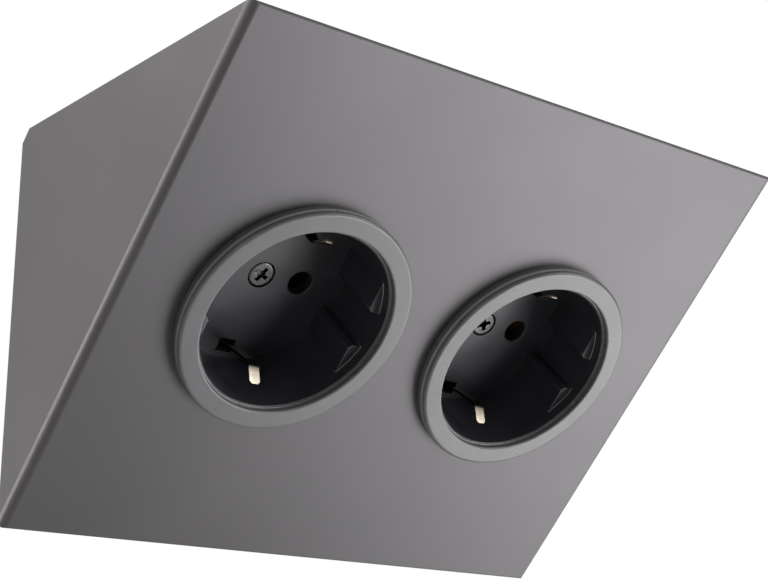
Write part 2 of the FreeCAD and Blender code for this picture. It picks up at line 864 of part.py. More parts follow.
def centre_screw(turn):
    """The cross-recessed screw in the middle of the floor, which holds both halves together."""
    seat = -recess_depth - centre_head_height
    crown = -recess_depth - centre_head_sink
    head = rod(centre_head_radius, V(0, 0, seat), V(0, 0, crown))
    head = head.makeFillet(centre_head_edge, rim(head, centre_head_radius, crown))
    shank = rod(centre_screw_radius, V(0, 0, seat), V(0, 0, -recess_depth - centre_screw_length))
    cross = cross_slot(centre_cross_length, centre_cross_width, centre_cross_depth)
    core_end = V(0, 0, -centre_cross_depth)
    cross = cross.fuse(cone(centre_cross_core, centre_cross_width / 2.0, V(0, 0, 0), core_end))
    cross.rotate(V(0, 0, 0), V(0, 0, 1), turn)
    cross.translate(V(0, 0, crown))
    return head.fuse(shank).cut(cross)


def earth_bracket():
    """The strip that joins both earth clips to the earth terminal."""
    top = carrier_top
    bottom = top - bracket_thickness
    half = bracket_width / 2.0
    reach = clip_root + clip_thickness / 2.0
    bracket = block(-half, half, -reach, reach, bottom, top)
    ear_top = -recess_depth - clip_thickness / 2.0 - bracket_gap
    for up in (-1, 1):
        inner = up * (clip_root - clip_thickness / 2.0)
        outer = up * reach
        ear_half = clip_width / 2.0
        ear = block(-ear_half, ear_half, min(inner, outer), max(inner, outer), bottom, ear_top)
        bracket = bracket.fuse(ear)
    leg_half = earth_leg_width / 2.0
    thin = contact_thickness / 2.0
    leg_plate = block(
        -leg_half, leg_half, -terminal_offset - thin, -terminal_offset + thin, terminal_rear + 1.0, bottom
    )
    bracket = bracket.fuse(leg_plate)
    bracket = bracket.fuse(terminal_cube(0.0, -terminal_offset))
    bracket = bracket.cut(rod(centre_screw_radius + thread_gap, V(0, 0, 0), V(0, 0, bottom - 1.0)))
    bracket = bracket.cut(wire_bore(0.0, -terminal_offset))
    return bracket.cut(
        rod(
            terminal_screw_radius + thread_gap,
            V(0, -terminal_offset, terminal_screw_level),
            V(0, -terminal_offset - terminal_size, terminal_screw_level),
        )
    )


def terminal_cube(across, up):
    """The brass block of one screw terminal."""
    half = terminal_size / 2.0
    return block(
        across - half, across + half, up - half, up + half, terminal_rear, terminal_rear + terminal_length
    )


def wire_bore(across, up):
    """The hole for the wire, from the back of a terminal."""
    return rod(
        wire_bore_radius,
        V(across, up, terminal_rear - 1.0),
        V(across, up, terminal_rear + terminal_length - 1.0),
    )


def earth_clip(up):
    """One sprung earth clip: it leans inwards, and its tip flares out to let the plug in."""
    points = [
        (clip_root, -recess_depth),
        (clip_root - clip_low_lean, -recess_depth + clip_low_height),
        (clip_root - clip_high_lean, -recess_depth + clip_high_height),
        (clip_root - clip_pinch_lean, -recess_depth + clip_pinch_height),
        (clip_root - clip_tip_lean, -recess_depth + clip_tip_height),
    ]
    clip = strip(points, clip_thickness, clip_width, clip_bend, clip_corner)
    clip.rotate(V(0, 0, 0), V(0, 0, 1), 90.0 * up)
    root = V(0, up * clip_root, -recess_depth)
    half = V(clip_width / 2.0, 0, 0)
    return clip.fuse(rod(clip_thickness / 2.0, root - half, root + half))


def contact_leaf(across, side):
    """One sprung leaf of a pin contact, on one side of its pin."""
    middle = across * pin_offset
    points = [
        (leaf_root_offset, leaf_bottom),
        (leaf_pinch_offset, leaf_top - leaf_pinch_drop),
        (leaf_tip_offset + leaf_thickness, leaf_top),
    ]
    leaf = strip(points, leaf_thickness, leaf_width, leaf_bend, leaf_corner)
    if side < 0:
        leaf = leaf.mirror(V(0, 0, 0), V(1, 0, 0))
    leaf.translate(V(middle, 0, 0))
    half = V(0, leaf_width / 2.0, 0)
    root = V(middle + side * leaf_root_offset, 0, leaf_bottom)
    return leaf.fuse(rod(leaf_thickness / 2.0, root - half, root + half))


def contact_base(across):
    """The fixed part of a pin contact: two cheeks that carry the leaves, a bridge and a terminal."""
    middle = across * pin_offset
    cheek_top = leaf_bottom - leaf_thickness / 2.0 - bracket_gap
    cheek_bottom = cheek_top - cheek_height
    bridge_low = terminal_offset - terminal_size / 2.0 - contact_thickness
    half_gap = leaf_root_offset + leaf_thickness / 2.0
    base = block(
        middle - half_gap,
        middle + half_gap,
        bridge_low,
        bridge_low + contact_thickness,
        cheek_bottom - bridge_gap,
        cheek_top,
    )
    for s in (-1, 1):
        inner = middle + s * (leaf_root_offset - leaf_thickness / 2.0)
        outer = middle + s * half_gap
        cheek = block(
            min(inner, outer), max(inner, outer), -leaf_width / 2.0, bridge_low, cheek_bottom, cheek_top
        )
        base = base.fuse(cheek)
    base = base.fuse(terminal_cube(middle, terminal_offset))
    base = base.cut(wire_bore(middle, terminal_offset))
    return base.cut(
        rod(
            terminal_screw_radius + thread_gap,
            V(middle, terminal_offset, terminal_screw_level),
            V(middle + across * terminal_size, terminal_offset, terminal_screw_level),
        )
    )


def terminal_screw(across, up, direction):
    """One clamp screw, from the core of its wire out to the side of the carrier."""
    core = V(across, up, terminal_screw_level)
    tip = core + direction * (wire_core_radius + thread_gap)
    seat = core + direction * (terminal_size / 2.0)
    crown = seat + direction * terminal_head_height
    screw = rod(terminal_screw_radius, tip, seat).fuse(rod(terminal_head_radius, seat, crown))
    thin = cross_slot_width / 2.0
    groove = block(-thin, thin, -thin, thin, -terminal_head_radius - 1, terminal_head_radius + 1)
    groove.translate(crown)
    return screw.cut(groove)


for side, place in ((-1, "left"), (1, "right")):
    save(on_front(bezel_ring(), side), f"bezel_ring_{place}")
    save(on_front(ring_nut(), side), f"ring_nut_{place}")
    save(on_front(socket_body(), side), f"socket_body_{place}")
    save(on_front(contact_carrier(), side), f"contact_carrier_{place}")
    screw_turn = centre_cross_turn + (side + 1) / 2.0 * centre_turn_step
    save(on_front(centre_screw(screw_turn), side), f"centre_screw_{place}")
    save(on_front(earth_bracket(), side), f"earth_bracket_{place}")
    save(on_front(earth_clip(1), side), f"earth_clip_upper_{place}")
    save(on_front(earth_clip(-1), side), f"earth_clip_lower_{place}")
    screws = [terminal_screw(0.0, -terminal_offset, V(0, -1, 0))]
    for pole, across in (("line", side), ("neutral", -side)):
        save(on_front(contact_base(across), side), f"{pole}_contact_{place}")
        save(on_front(contact_leaf(across, -1), side), f"{pole}_leaf_a_{place}")
        save(on_front(contact_leaf(across, 1), side), f"{pole}_leaf_b_{place}")
        screws.append(terminal_screw(across * pin_offset, terminal_offset, V(across, 0, 0)))
    save(on_front(Part.Compound(screws), side), f"terminal_screws_{place}")

# Wires, each along points chosen by hand: out of the block, behind the socket, into its terminal

def socket_wire(colour, side, level, across, up, past_block, last_bend, straight):
    """One wire from a pole of the block to a terminal of a socket.

    past_block lists steps from the pole: outwards along X, along Y and along Z. last_bend is
    the corner behind the carrier: towards the middle of the strip, up the slope and back from
    the carrier. straight is the length of the last run outside the carrier.
    """
    start = V(side * block_width / 2.0, pole_line, level)
    towards_middle, lift, back = last_bend
    points = [start]
    points += [start + V(side * x, y, z) for x, y, z in past_block]
    points.append(front_point(side, across - side * towards_middle, up + lift, carrier_rear - back))
    points.append(front_point(side, across, up, carrier_rear - straight))
    points.append(front_point(side, across, up, terminal_rear + wire_entry))
    return insulated_wire(colour, points)


blue_steps = [(3.0, 0.0, 0.0)]
brown_steps = [(3.0, 0.0, 0.0), (8.5, -0.3, 1.7), (17.5, -1.4, 4.9)]
green_yellow_steps = [(3.0, 0.0, 0.0), (11.0, 4.1, 4.2)]
for side, place in ((-1, "left"), (1, "right")):
    line = side * pin_offset
    blue = socket_wire(
        "blue", side, pole_levels[0], -line, terminal_offset, blue_steps, (3.0, -2.2, 8.2), 4.7
    )
    brown = socket_wire(
        "brown", side, pole_levels[1], line, terminal_offset, brown_steps, (4.0, -2.1, 8.0), 5.5
    )
    green_yellow = socket_wire(
        "green_yellow", side, pole_levels[2], 0.0, -terminal_offset, green_yellow_steps, (3.5, 0.0, 7.5), 5.0
    )
    save(blue, f"blue_wire_{place}")
    save(brown, f"brown_wire_{place}")
    save(green_yellow, f"green_yellow_wire_{place}")

link_end = barrel_start + lug_barrel_length
link_points = [
    V(0, block_front, pole_levels[2]),
    V(0, block_front - 3.5, pole_levels[2]),
    V(0, block_front - 6.3, pole_levels[2] + 4.0),
    V(0, block_front - 6.3, barrel_level - 5.0),
    V(0, link_end + 5.5, barrel_level),
    V(0, link_end - wire_entry, barrel_level),
]
save(insulated_wire("earth_link", link_points), "earth_link_wire")
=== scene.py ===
import bpy
import numpy as np
from mathutils import Matrix, Vector

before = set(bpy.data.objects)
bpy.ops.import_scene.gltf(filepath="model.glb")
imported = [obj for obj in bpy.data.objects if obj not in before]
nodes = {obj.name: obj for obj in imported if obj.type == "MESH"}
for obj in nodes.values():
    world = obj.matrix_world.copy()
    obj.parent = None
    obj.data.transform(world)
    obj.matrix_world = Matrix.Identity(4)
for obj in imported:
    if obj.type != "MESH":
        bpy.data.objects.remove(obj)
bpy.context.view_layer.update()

# The view: the strip hangs in its corner and is seen from below and from its left end, as one
# looks up at it from the worktop. The camera stands and is turned as the photograph's was.

PHOTO_WIDTH = 768
FOCAL_PIXELS = 1659.4
SENSOR_WIDTH = 36.0
NEAR_CLIP = 0.01
CAMERA_PLACE = Vector((-0.21178, -0.28822, -0.12236))
CAMERA_RIGHT = Vector((0.771412, -0.63633, 0.002655)).normalized()
CAMERA_AHEAD = Vector((0.61136, 0.742287, 0.274316)).normalized()

camera_up = CAMERA_RIGHT.cross(CAMERA_AHEAD).normalized()
camera_turn = Matrix((CAMERA_RIGHT, camera_up, -CAMERA_AHEAD)).transposed()
camera_data = bpy.data.cameras.new("camera")
camera_data.sensor_width = SENSOR_WIDTH
camera_data.lens = FOCAL_PIXELS / PHOTO_WIDTH * SENSOR_WIDTH
camera_data.clip_start = NEAR_CLIP
camera = bpy.data.objects.new("camera", camera_data)
camera.matrix_world = Matrix.Translation(CAMERA_PLACE) @ camera_turn.to_4x4()
bpy.context.scene.collection.objects.link(camera)
bpy.context.scene.camera = camera
bpy.context.scene.view_settings.view_transform = "Standard"

# The room: a plain pale floor well below the strip, and a plain room that is white behind the
# strip, where a wall would be, and dim on the side that the strip's front looks to.

WHITE = (1.0, 1.0, 1.0)
FLOOR_LEVEL = -1.10
FLOOR_HALF = 4.0
FLOOR_COLOUR = (0.72, 0.72, 0.71)
FLOOR_ROUGHNESS = 0.8
BACKDROP_FROM = 0.35
BACKDROP_TO = 0.93
BACKDROP_BRIGHT = 1.0
ROOM_DIM = 0.05


def shader_of(material):
    """The shader node that holds a material's surface values."""
    return material.node_tree.nodes["Principled BSDF"]


def finish(name, roughness, metallic=0.0):
    """A new material with the values that are the same all over its surface."""
    material = bpy.data.materials.new(name)
    material.use_nodes = True
    shader_of(material).inputs["Roughness"].default_value = roughness
    shader_of(material).inputs["Metallic"].default_value = metallic
    return material


def plain_floor():
    """A flat square of two by two faces at the floor's level."""
    steps = np.linspace(-FLOOR_HALF, FLOOR_HALF, 3)
    x, y = np.meshgrid(steps, steps)
    points = np.stack([x.ravel(), y.ravel(), np.full(x.size, FLOOR_LEVEL)], axis=1)
    faces = [(i, i + 1, i + 4, i + 3) for i in (0, 1, 3, 4)]
    mesh = bpy.data.meshes.new("floor")
    mesh.from_pydata(points.tolist(), [], faces)
    return bpy.data.objects.new("floor", mesh)


def lit_room():
    """A world whose light grows from dim to white towards the side that lies behind the strip."""
    world = bpy.data.worlds.new("room")
    world.use_nodes = True
    room_nodes = world.node_tree.nodes
    links = world.node_tree.links
    background = room_nodes["Background"]
    background.inputs["Color"].default_value = (*WHITE, 1.0)
    direction = room_nodes.new("ShaderNodeTexCoord")
    facing = room_nodes.new("ShaderNodeVectorMath")
    facing.operation = "DOT_PRODUCT"
    facing.inputs[1].default_value = CAMERA_AHEAD
    spread = room_nodes.new("ShaderNodeMapRange")
    spread.interpolation_type = "SMOOTHSTEP"
    spread.inputs["From Min"].default_value = BACKDROP_FROM
    spread.inputs["From Max"].default_value = BACKDROP_TO
    spread.inputs["To Min"].default_value = ROOM_DIM
    spread.inputs["To Max"].default_value = BACKDROP_BRIGHT
    links.new(direction.outputs["Generated"], facing.inputs[0])
    links.new(facing.outputs["Value"], spread.inputs["Value"])
    links.new(spread.outputs["Result"], background.inputs["Strength"])
    return world


floor = plain_floor()
bpy.context.scene.collection.objects.link(floor)
floor_pale = finish("floor_pale", FLOOR_ROUGHNESS)
shader_of(floor_pale).inputs["Base Color"].default_value = (*FLOOR_COLOUR, 1.0)
floor.data.materials.append(floor_pale)
bpy.context.scene.world = lit_room()

# The studio light: round soft boxes that all point at the middle of the strip, at one distance.
# Each is given by its name, the way it lies from there, its size, its power and its colour.

STRIP_MIDDLE = Vector((0.0, -0.04, -0.04))
LIGHT_DISTANCE = 0.75
WARM_WHITE = (1.0, 0.99, 0.95)
SOFT_BOXES = (
    ("left_high", (-0.80, -0.11, 0.59), 0.36, 7.70, WARM_WHITE),
    ("left_behind", (-0.80, 0.25, 0.50), 0.30, 2.70, WARM_WHITE),
    ("left_level", (-0.90, 0.43, -0.04), 0.25, 1.30, WHITE),
    ("left_low_behind", (-0.75, 0.65, -0.30), 0.30, 1.30, WHITE),
    ("beside_camera", (-0.75, -0.65, 0.05), 0.30, 0.42, WHITE),
    ("front_right", (0.60, -0.60, -0.50), 0.40, 2.70, WHITE),
    ("right", (0.90, -0.20, -0.40), 0.40, 0.85, WHITE),
    ("below_right", (0.75, -0.15, -0.60), 0.40, 1.40, WHITE),
    ("below_small", (0.61, -0.27, -0.74), 0.15, 0.05, WHITE),
    ("front_right_high", (0.57, -0.76, 0.28), 0.50, 1.50, WHITE),
)


def soft_box(name, way, size, power, colour):
    """A round soft light that lies in a direction from the strip and faces it."""
    out = Vector(way).normalized()
    data = bpy.data.lights.new(name, "AREA")
    data.shape = "DISK"
    data.size = size
    data.energy = power
    data.color = colour
    light = bpy.data.objects.new(name, data)
    light.visible_camera = False
    turned = (-out).to_track_quat("-Z", "Y").to_matrix().to_4x4()
    light.matrix_world = Matrix.Translation(STRIP_MIDDLE + out * LIGHT_DISTANCE) @ turned
    bpy.context.scene.collection.objects.link(light)


for box in SOFT_BOXES:
    soft_box(*box)

# The back plate: an L of hot-dipped sheet steel, 1 mm thick. The zinc has frozen in flat crystals
# a few millimetres across, which turn the light each in its own way, and it is dull with handling.

SPANGLE_SCALE = 190.0
HANDLED_SCALE = 60.0
HANDLED_BEGINS = 0.5
HANDLED_FULL = 0.8
ZINC_DARK = (0.36, 0.37, 0.39)
ZINC_LIGHT = (0.56, 0.57, 0.59)
ZINC_ROUGHNESS = (0.34, 0.52)
ZINC_GRAIN = 900.0
ZINC_RELIEF = 0.00002


def wear(material, *names):
    """Gives the named CAD nodes this material."""
    for name in names:
        for slot in nodes[name].material_slots:
            slot.material = material
        if not nodes[name].material_slots:
            nodes[name].data.materials.append(material)


def add(material, kind, **inputs):
    """A new node in a material, with the given inputs: a value is set, and a socket is linked."""
    node = material.node_tree.nodes.new(kind)
    for key, value in inputs.items():
        socket = node.inputs[key.replace("_", " ")]
        if isinstance(value, bpy.types.NodeSocket):
            material.node_tree.links.new(value, socket)
        else:
            socket.default_value = value
    return node


def place_of(material, stretch=(1.0, 1.0, 1.0), turn=(0.0, 0.0, 0.0)):
    """The place on the object, which may be turned and stretched to lay a pattern along a way."""
    place = add(material, "ShaderNodeTexCoord").outputs["Object"]
    mapping = add(material, "ShaderNodeMapping", Vector=place)
    mapping.inputs["Scale"].default_value = stretch
    mapping.inputs["Rotation"].default_value = turn
    return mapping.outputs["Vector"]


def grain(material, scale, detail=3.0, **how):
    """Fractal noise over the object, with this many cycles a metre."""
    place = place_of(material, **how)
    noise = add(material, "ShaderNodeTexNoise", Vector=place, Scale=scale, Detail=detail)
    return noise.outputs["Fac"]


def between(material, value, low, high, start=0.3, end=0.7):
    """A number that goes from low to high as a pattern's value goes from start to end."""
    spread = add(material, "ShaderNodeMapRange", Value=value)
    for key, number in (("From Min", start), ("From Max", end), ("To Min", low), ("To Max", high)):
        spread.inputs[key].default_value = number
    return spread.outputs["Result"]


def blend(material, value, low, high, start=0.3, end=0.7):
    """A colour that goes from low to high as a pattern's value goes from start to end."""
    mix = add(material, "ShaderNodeMix")
    mix.data_type = "RGBA"
    share = between(material, value, 0.0, 1.0, start, end)
    material.node_tree.links.new(share, mix.inputs["Factor"])
    for socket, colour in (("A_Color", low), ("B_Color", high)):
        found = [entry for entry in mix.inputs if entry.identifier == socket][0]
        if isinstance(colour, bpy.types.NodeSocket):
            material.node_tree.links.new(colour, found)
        else:
            found.default_value = (*colour, 1.0)
    return [entry for entry in mix.outputs if entry.identifier == "Result_Color"][0]


def surface(material, colour, roughness=None, height=None, depth=0.0, edge=0.0):
    """Links a varying colour, roughness and relief to the shader. depth is the relief's height,
    and edge the radius to which sharp edges are worn, so that they catch the light."""
    shader = shader_of(material)
    links = material.node_tree.links
    links.new(colour, shader.inputs["Base Color"])
    if roughness is not None:
        links.new(roughness, shader.inputs["Roughness"])
    if height is not None:
        bump = add(material, "ShaderNodeBump", Height=height, Distance=depth, Strength=1.0)
        links.new(bump.outputs["Normal"], shader.inputs["Normal"])
        if edge:
            worn = add(material, "ShaderNodeBevel", Radius=edge)
            links.new(worn.outputs["Normal"], bump.inputs["Normal"])


def galvanised():
    """Zinc crystals: cells with a level of grey and of gloss each, and a slight fine grain."""
    material = finish("galvanised_sheet", roughness=0.4, metallic=0.9)
    place = place_of(material)
    cells = add(material, "ShaderNodeTexVoronoi", Vector=place, Scale=SPANGLE_SCALE)
    split = add(material, "ShaderNodeSeparateColor", Color=cells.outputs["Color"])
    handled = grain(material, HANDLED_SCALE, detail=4.0)
    crystal = blend(material, split.outputs["Red"], ZINC_DARK, ZINC_LIGHT, start=0.0, end=1.0)
    colour = blend(material, handled, crystal, ZINC_DARK, HANDLED_BEGINS, HANDLED_FULL)
    roughness = between(material, split.outputs["Green"], *ZINC_ROUGHNESS, start=0.0, end=1.0)
    surface(material, colour, roughness, grain(material, ZINC_GRAIN), ZINC_RELIEF)
    return material


wear(galvanised(), "back_plate")

# The clinch nuts: turned from bright zinc-plated steel and pressed into the plate. The two for the
# cupboard show their bores on top, the six for the cover sit behind the flanges.

PLATED_DARK = (0.46, 0.46, 0.45)
PLATED_LIGHT = (0.62, 0.62, 0.60)
PLATED_CLOUD = 700.0
PLATED_GLOSSIER = 0.06
PLATED_DULLER = 0.1
TURNING_MARKS = 5200.0
TURNING_RELIEF = 0.000008


def plated(name, roughness, tint=WHITE):
    """Bright zinc plating: fine turning marks, and a cloudy grey."""
    material = finish(name, roughness, metallic=1.0)
    cloud = grain(material, PLATED_CLOUD, detail=4.0)
    dark = tuple(a * b for a, b in zip(PLATED_DARK, tint))
    light = tuple(a * b for a, b in zip(PLATED_LIGHT, tint))
    colour = blend(material, cloud, dark, light)
    marks = grain(material, TURNING_MARKS, detail=2.0)
    gloss = between(material, cloud, roughness - PLATED_GLOSSIER, roughness + PLATED_DULLER)
    surface(material, colour, gloss, marks, TURNING_RELIEF)
    return material


nut_zinc = plated("nut_zinc", roughness=0.34)
wear(nut_zinc, "cupboard_nuts", "cover_nuts")

# The cable grommet: soft black rubber, moulded, snapped into the wall leg of the plate. It is matt,
# with a slight bloom.

RUBBER_DARK = (0.012, 0.012, 0.012)
RUBBER_BLOOM = (0.030, 0.030, 0.031)
RUBBER_ROUGHNESS = (0.62, 0.82)
RUBBER_RELIEF = 0.00002

rubber = finish("grommet_rubber", roughness=0.7)
bloom = grain(rubber, scale=350.0, detail=4.0)
surface(
    rubber,
    blend(rubber, bloom, RUBBER_DARK, RUBBER_BLOOM),
    between(rubber, bloom, *RUBBER_ROUGHNESS),
    grain(rubber, scale=3000.0),
    RUBBER_RELIEF,
)
wear(rubber, "cable_grommet")

# The terminal block: three brass tubes in a housing of off-white polyamide, riveted to the plate.
# Its clamp screws are zinc plated, and the rivets are plain aluminium.

POLYAMIDE_LOW = (0.62, 0.61, 0.56)
POLYAMIDE_HIGH = (0.70, 0.69, 0.65)
POLYAMIDE_ROUGHNESS = (0.40, 0.55)
POLYAMIDE_RELIEF = 0.00001
POLYAMIDE_MILKY = 0.15
POLYAMIDE_LIGHT_REACH = (0.0012, 0.0010, 0.0008)
BRASS_DULL = (0.42, 0.27, 0.10)
BRASS_CLEAN = (0.62, 0.42, 0.17)
DRAWN_STREAKS = 900.0
DRAWN_STRETCH = (1.0, 0.12, 1.0)
DRAWN_RELIEF = 0.00001
DRAWN_DULLER = 0.12
DRAWN_GLOSSIER = 0.04
ALUMINIUM_TINT = (1.08, 1.08, 1.10)


def yellow_metal(name, low, high, roughness):
    """Drawn brass or bronze: long faint streaks, with dull patches where it has been touched."""
    material = finish(name, roughness, metallic=1.0)
    streak = grain(material, DRAWN_STREAKS, stretch=DRAWN_STRETCH)
    patch = grain(material, scale=260.0, detail=4.0)
    colour = blend(material, patch, low, high)
    gloss = between(material, patch, roughness + DRAWN_DULLER, roughness - DRAWN_GLOSSIER)
    surface(material, colour, gloss, streak, DRAWN_RELIEF)
    return material


polyamide = finish("block_polyamide", roughness=0.45)
shader_of(polyamide).inputs["Subsurface Weight"].default_value = POLYAMIDE_MILKY
shader_of(polyamide).inputs["Subsurface Radius"].default_value = POLYAMIDE_LIGHT_REACH
surface(
    polyamide,
    blend(polyamide, grain(polyamide, scale=240.0), POLYAMIDE_LOW, POLYAMIDE_HIGH),
    between(polyamide, grain(polyamide, scale=900.0), *POLYAMIDE_ROUGHNESS),
    grain(polyamide, scale=4200.0),
    POLYAMIDE_RELIEF,
)
brass = yellow_metal("contact_brass", BRASS_DULL, BRASS_CLEAN, roughness=0.32)
wear(polyamide, "terminal_block")
wear(brass, "terminal_block_contacts")
wear(plated("clamp_screw_zinc", roughness=0.30), "terminal_block_screws")
wear(plated("rivet_aluminium", roughness=0.42, tint=ALUMINIUM_TINT), "terminal_block_rivets")

# The housing's earth: a stud pressed into the plate's top leg, with a tinned ring lug and a plated
# nut. The link wire runs from the lug to the earth pole of the block.

TIN_LOW = (0.50, 0.50, 0.50)
TIN_HIGH = (0.66, 0.66, 0.65)
TIN_ROUGHNESS = (0.30, 0.50)
TIN_RELIEF = 0.000012

tin = finish("lug_tin", roughness=0.38, metallic=1.0)
surface(
    tin,
    blend(tin, grain(tin, scale=420.0, detail=4.0), TIN_LOW, TIN_HIGH),
    between(tin, grain(tin, scale=800.0), *TIN_ROUGHNESS),
    grain(tin, scale=2600.0),
    TIN_RELIEF,
)
wear(nut_zinc, "earth_stud", "earth_nut")
wear(tin, "earth_lug")

# The wires: PVC drawn over one stiff copper core, 2.8 mm over the skin, and clamped at both ends.
# Brown and blue are plain, and the earth's skin is green with a yellow band along each side.

SIDES = ("left", "right")
PVC_BROWN = ((0.075, 0.028, 0.012), (0.105, 0.040, 0.018))
PVC_BLUE = ((0.012, 0.060, 0.240), (0.018, 0.085, 0.310))
PVC_GREEN = ((0.030, 0.160, 0.035), (0.045, 0.210, 0.045))
PVC_YELLOW = (0.620, 0.480, 0.030)
PVC_ROUGHNESS = (0.30, 0.44)
PVC_RELIEF = 0.00001
BAND_STEP = 360.0
BAND_TURN = (0.785, 0.0, 0.5)
BAND_BEGINS = 0.55
BAND_FULL = 0.62


def colour_of(material):
    """The colour pattern that a material's shader has so far."""
    return shader_of(material).inputs["Base Color"].links[0].from_socket


def pvc(name, colours):
    """Extruded plastic skin: even colour with faint long waves, and a soft gloss."""
    material = finish(name, roughness=0.36)
    wave = grain(material, scale=160.0)
    colour = blend(material, wave, *colours)
    gloss = between(material, wave, *PVC_ROUGHNESS)
    surface(material, colour, gloss, grain(material, scale=1500.0), PVC_RELIEF)
    return material


def banded(material):
    """Lays the yellow bands of an earth wire over its green."""
    green = colour_of(material)
    place = place_of(material, turn=BAND_TURN)
    bands = add(material, "ShaderNodeTexWave", Vector=place, Scale=BAND_STEP)
    value = bands.outputs["Fac"]
    surface(material, blend(material, value, green, PVC_YELLOW, BAND_BEGINS, BAND_FULL))
    return material


brown_skin = pvc("wire_brown", PVC_BROWN)
blue_skin = pvc("wire_blue", PVC_BLUE)
earth_skin = banded(pvc("wire_green_yellow", PVC_GREEN))
wear(earth_skin, "earth_link_wire")
for side in SIDES:
    wear(brown_skin, f"brown_wire_{side}")
    wear(blue_skin, f"blue_wire_{side}")
    wear(earth_skin, f"green_yellow_wire_{side}")

# The two halves of each socket and its ring nut: black glass-filled plastic with a fine satin
# grain from eroded moulds. The nut holds the front half in the cover's hole from behind. The
# outer edges of the keying rails carry a painted highlight: a pale colour along their sharp edges.

SOCKET_BLACK = (0.034, 0.034, 0.042)
SOCKET_SCUFFED = (0.046, 0.046, 0.057)
SOCKET_GLOSSIER = 0.05
SOCKET_DULLER = 0.06
SOCKET_SPECULAR = 0.65
SOCKET_RELIEF = 0.000010
SOCKET_EDGE = 0.00022
SOCKET_OUT = (0.0, -0.70711, -0.70711)
RAIL_PAINTED_HIGHLIGHT = (0.95, 0.94, 0.92)
RAIL_EDGE = 0.00028
RAIL_BEGINS = 0.0535
RAIL_FULL = 0.0556
TURN_BRIGHT = 0.80
TURN_PLAIN = 0.97


def moulded_black(name, roughness):
    """Satin black plastic with the mould's grain and a slight unevenness of gloss."""
    material = finish(name, roughness)
    cloud = grain(material, scale=120.0, detail=4.0)
    colour = blend(material, cloud, SOCKET_BLACK, SOCKET_SCUFFED)
    shader_of(material).inputs["Specular IOR Level"].default_value = SOCKET_SPECULAR
    gloss = between(material, cloud, roughness - SOCKET_GLOSSIER, roughness + SOCKET_DULLER)
    surface(material, colour, gloss, grain(material, scale=3600.0), SOCKET_RELIEF, SOCKET_EDGE)
    return material


def rise_of(material):
    """How far a point lies out of the front, in metres from the line of wall and cupboard."""
    rise = add(material, "ShaderNodeVectorMath", Vector=place_of(material))
    rise.operation = "DOT_PRODUCT"
    rise.inputs[1].default_value = SOCKET_OUT
    return rise.outputs["Value"]


def painted_edge_highlight(material, edge, plain, bright):
    """A painted highlight: a colour that turns bright along sharp edges. They are found where the
    normal of the edge, rounded to the given radius, turns away from the normal of the face."""
    rounded = add(material, "ShaderNodeBevel", Radius=edge)
    turned = add(material, "ShaderNodeVectorMath", Vector=rounded.outputs["Normal"])
    turned.operation = "DOT_PRODUCT"
    face = add(material, "ShaderNodeNewGeometry")
    material.node_tree.links.new(face.outputs["Normal"], turned.inputs[1])
    return blend(material, turned.outputs["Value"], bright, plain, TURN_BRIGHT, TURN_PLAIN)


body_black = moulded_black("socket_black", roughness=0.35)
body_plain = colour_of(body_black)
# The pale colour along the rails' outer edges near the front is a painted highlight.
body_edge_highlight = painted_edge_highlight(body_black, RAIL_EDGE, body_plain, RAIL_PAINTED_HIGHLIGHT)
body_rise = rise_of(body_black)
surface(
    body_black,
    blend(body_black, body_rise, body_plain, body_edge_highlight, RAIL_BEGINS, RAIL_FULL),
)
carrier_black = moulded_black("carrier_black", roughness=0.45)
for side in SIDES:
    wear(body_black, f"socket_body_{side}")
    wear(carrier_black, f"contact_carrier_{side}", f"ring_nut_{side}")

# The contacts: each pole is a brass base with two bronze spring leaves that grip the plug's pin.
# The brass bracket under the floor joins the earth clips to their terminal; its colour is painted
# very dark, as painted shade under the floor. All are held in the rear half of the socket, and the
# clamp screws are zinc plated.

BRACKET_SHADED_DULL = (0.060, 0.036, 0.020)
BRACKET_SHADED_CLEAN = (0.140, 0.085, 0.045)
BRONZE_CLEAN = (0.52, 0.34, 0.19)

# The bracket's brass is painted far darker than the contacts' brass: painted shade.
bracket_brass = yellow_metal("bracket_brass", BRACKET_SHADED_DULL, BRACKET_SHADED_CLEAN, roughness=0.48)
leaf_bronze = yellow_metal("leaf_bronze", BRONZE_CLEAN, BRASS_CLEAN, roughness=0.24)
terminal_zinc = plated("terminal_screw_zinc", roughness=0.32)
for side in SIDES:
    wear(bracket_brass, f"earth_bracket_{side}")
    wear(terminal_zinc, f"terminal_screws_{side}")
    for pole in ("line", "neutral"):
        wear(brass, f"{pole}_contact_{side}")
        wear(leaf_bronze, f"{pole}_leaf_a_{side}", f"{pole}_leaf_b_{side}")

# The earth clips: nickel-plated spring strip, 2.5 mm wide, rooted in the floor of the recess.
# The flared tips show the nickel's own bright colour; further in, the strip is painted nearly black
# as painted shade deep in the recess.

NICKEL_PAINTED_SHADE = (0.030, 0.027, 0.022)
NICKEL_DULL = (0.48, 0.42, 0.34)
NICKEL_BRIGHT = (0.66, 0.59, 0.48)
NICKEL_ROUGHNESS = (0.42, 0.21)
NICKEL_STRETCH = (1.0, 0.2, 0.2)
NICKEL_RELIEF = 0.000003
TIP_BEGINS = 0.0525
TIP_BRIGHT = 0.0541
CLIP_EDGE = 0.00012

nickel = finish("clip_nickel", roughness=0.22, metallic=1.0)
reach = rise_of(nickel)
patchy = blend(nickel, grain(nickel, scale=420.0), NICKEL_DULL, NICKEL_BRIGHT)
surface(
    nickel,
    # Below the tips the strip is painted nearly black: painted shade deeper in the recess.
    blend(nickel, reach, NICKEL_PAINTED_SHADE, patchy, TIP_BEGINS, TIP_BRIGHT),
    between(nickel, reach, *NICKEL_ROUGHNESS, TIP_BEGINS, TIP_BRIGHT),
    grain(nickel, scale=1800.0, stretch=NICKEL_STRETCH),
    NICKEL_RELIEF,
    CLIP_EDGE,
)
for side in SIDES:
    wear(nickel, f"earth_clip_upper_{side}", f"earth_clip_lower_{side}")
